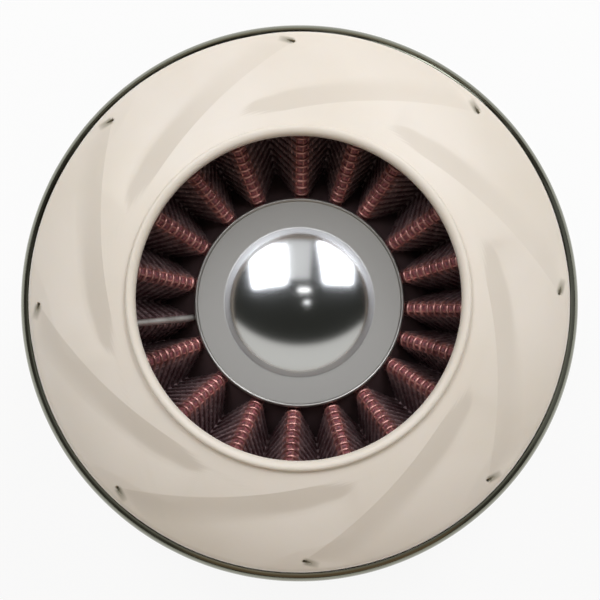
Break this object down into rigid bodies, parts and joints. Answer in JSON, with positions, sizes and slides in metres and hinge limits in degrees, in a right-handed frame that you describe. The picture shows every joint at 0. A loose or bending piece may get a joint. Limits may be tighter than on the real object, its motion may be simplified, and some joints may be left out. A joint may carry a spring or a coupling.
{
  "type": "cone air filter",
  "caption": "Clamp-on cone air filter with pleated gauze, a cream grooved front cap, and an inverted inlet cone that ends in a chrome dome.",
  "frame": {"origin": "centre of the neck's end face, on which the filter stands", "axes": "+Z up the filter's axis from the neck to the front cap; +X to the right in the picture and +Y up in it"},
  "size_m": [0.144, 0.144, 0.152],
  "materials": {
    "cap_urethane": "moulded cream polyurethane, satin",
    "trim_black": "glossy black",
    "oiled_gauze": "crimson oiled cotton gauze",
    "coated_mesh": "dark coated wire mesh",
    "seam_metal": "crimped strip",
    "plug_urethane": "moulded dark polyurethane",
    "dome_chrome": "bright chrome plate",
    "base_rubber": "moulded black polyurethane rubber",
    "clamp_steel": "stainless band steel",
    "screw_steel": "zinc-plated screw"
  },
  "bodies": {
    "root": {"front_cap": "cap_urethane", "trim_ring": "trim_black", "inlet_gauze": "oiled_gauze", "inlet_mesh_front": "coated_mesh", "inlet_mesh_back": "coated_mesh", "inlet_seam_strip": "seam_metal", "centre_plug": "plug_urethane", "chrome_dome": "dome_chrome", "outer_gauze": "oiled_gauze", "outer_mesh_outside": "coated_mesh", "outer_mesh_inside": "coated_mesh", "outer_seam_strip": "seam_metal", "base_neck": "base_rubber", "clamp_band": "clamp_steel", "clamp_housing": "clamp_steel", "clamp_screw": "screw_steel"}
  },
  "joints": []
}
